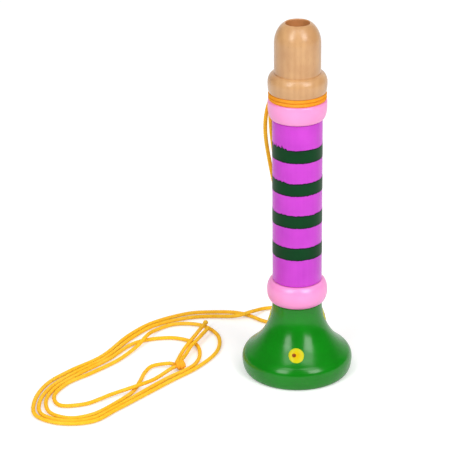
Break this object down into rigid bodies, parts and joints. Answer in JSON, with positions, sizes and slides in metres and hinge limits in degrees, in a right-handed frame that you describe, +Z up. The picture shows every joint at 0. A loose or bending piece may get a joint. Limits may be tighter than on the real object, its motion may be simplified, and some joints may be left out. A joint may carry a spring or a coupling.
{
  "type": "toy horn",
  "caption": "Turned wooden toy horn standing on its flared green bell, with a banded purple tube, pink rings, a bare wood mouthpiece, a reed inside and a knotted neck cord",
  "frame": {"origin": "centre of the flat foot ring of the bell, on the floor", "axes": "+Z runs up the horn's axis to the mouthpiece, -Y is the front as pictured, +X is the viewer's right"},
  "size_m": [0.1638, 0.1378, 0.19],
  "materials": {
    "bare_wood": "bare beech, finely sanded and waxed",
    "pink_paint": "gloss pink enamel on wood",
    "purple_paint": "gloss purple enamel on wood, with brushed dark green bands",
    "green_paint": "gloss green enamel on wood, with painted yellow dots",
    "reed_plastic": "moulded ivory plastic",
    "reed_film": "springy plastic strip",
    "yellow_cord": "round braided yellow-orange cord"
  },
  "bodies": {
    "horn": {"mouthpiece": "bare_wood", "upper_collar": "pink_paint", "body_tube": "purple_paint", "lower_ring": "pink_paint", "bell": "green_paint", "reed_holder": "reed_plastic", "reed_shallot": "reed_plastic", "reed_wedge": "reed_plastic"},
    "reed": {"reed_tongue": "reed_film"},
    "cord": {"cord_neck_hitch": "yellow_cord", "cord_strand_outer": "yellow_cord", "cord_strand_inner": "yellow_cord", "cord_end_knot": "yellow_cord", "cord_tail_left": "yellow_cord", "cord_tail_right": "yellow_cord"}
  },
  "joints": [
    {"name": "reed_flex", "type": "hinge", "parent": "horn", "child": "reed", "pos_m": [0, -0.00147, 0.135], "axis": [1, 0, 0], "range_deg": [-2, 2], "stiffness_Nm_per_rad": 0.001},
    {"name": "cord_swivel", "type": "hinge", "parent": "horn", "child": "cord", "pos_m": [0, 0, 0.15285], "axis": [0, 0, 1], "continuous": true}
  ]
}
